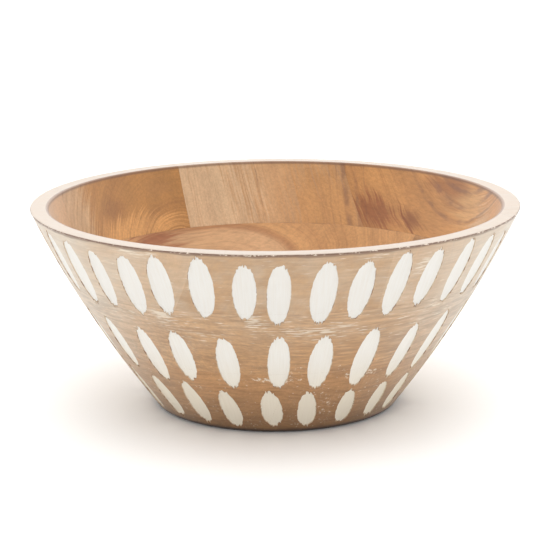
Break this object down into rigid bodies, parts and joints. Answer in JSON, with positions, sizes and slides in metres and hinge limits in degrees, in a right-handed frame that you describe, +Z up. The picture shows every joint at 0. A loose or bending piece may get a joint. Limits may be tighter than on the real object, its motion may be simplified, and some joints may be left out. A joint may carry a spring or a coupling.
{
  "type": "carved wooden bowl",
  "caption": "Round flared wooden serving bowl turned from glued boards, with rows of white-painted oval gouges carved outside.",
  "frame": {"origin": "centre of the base, on the surface the bowl stands on", "axes": "+Z up along the bowl's axis, -Y to the front of the bowl, +X to its right"},
  "size_m": [0.3042, 0.3042, 0.127],
  "materials": {
    "bottom_wood": "hand-carved, thin whitewash outside with warm white paint in the gouges, satin lacquer inside",
    "tan_wood": "hand-carved, thin whitewash outside with warm white paint in the gouges, satin lacquer inside",
    "red_brown_wood": "hand-carved, thin whitewash outside with warm white paint in the gouges, satin lacquer inside",
    "golden_wood": "hand-carved, thin whitewash outside with warm white paint in the gouges, satin lacquer inside, pale waxed rim",
    "pale_wood": "hand-carved, thin whitewash outside with warm white paint in the gouges, satin lacquer inside, pale waxed rim",
    "flame_wood": "hand-carved, thin whitewash outside with warm white paint in the gouges, satin lacquer inside, pale waxed rim"
  },
  "bodies": {
    "root": {"bottom_board_1": "bottom_wood", "bottom_board_2": "bottom_wood", "bottom_board_3": "bottom_wood", "middle_board_1": "tan_wood", "middle_board_2_left": "tan_wood", "middle_board_2_right": "tan_wood", "middle_board_3": "red_brown_wood", "top_board_1": "golden_wood", "top_board_2_back": "golden_wood", "top_board_2_front": "golden_wood", "top_board_3_back": "pale_wood", "top_board_3_front": "pale_wood", "top_board_4": "flame_wood"}
  },
  "joints": []
}
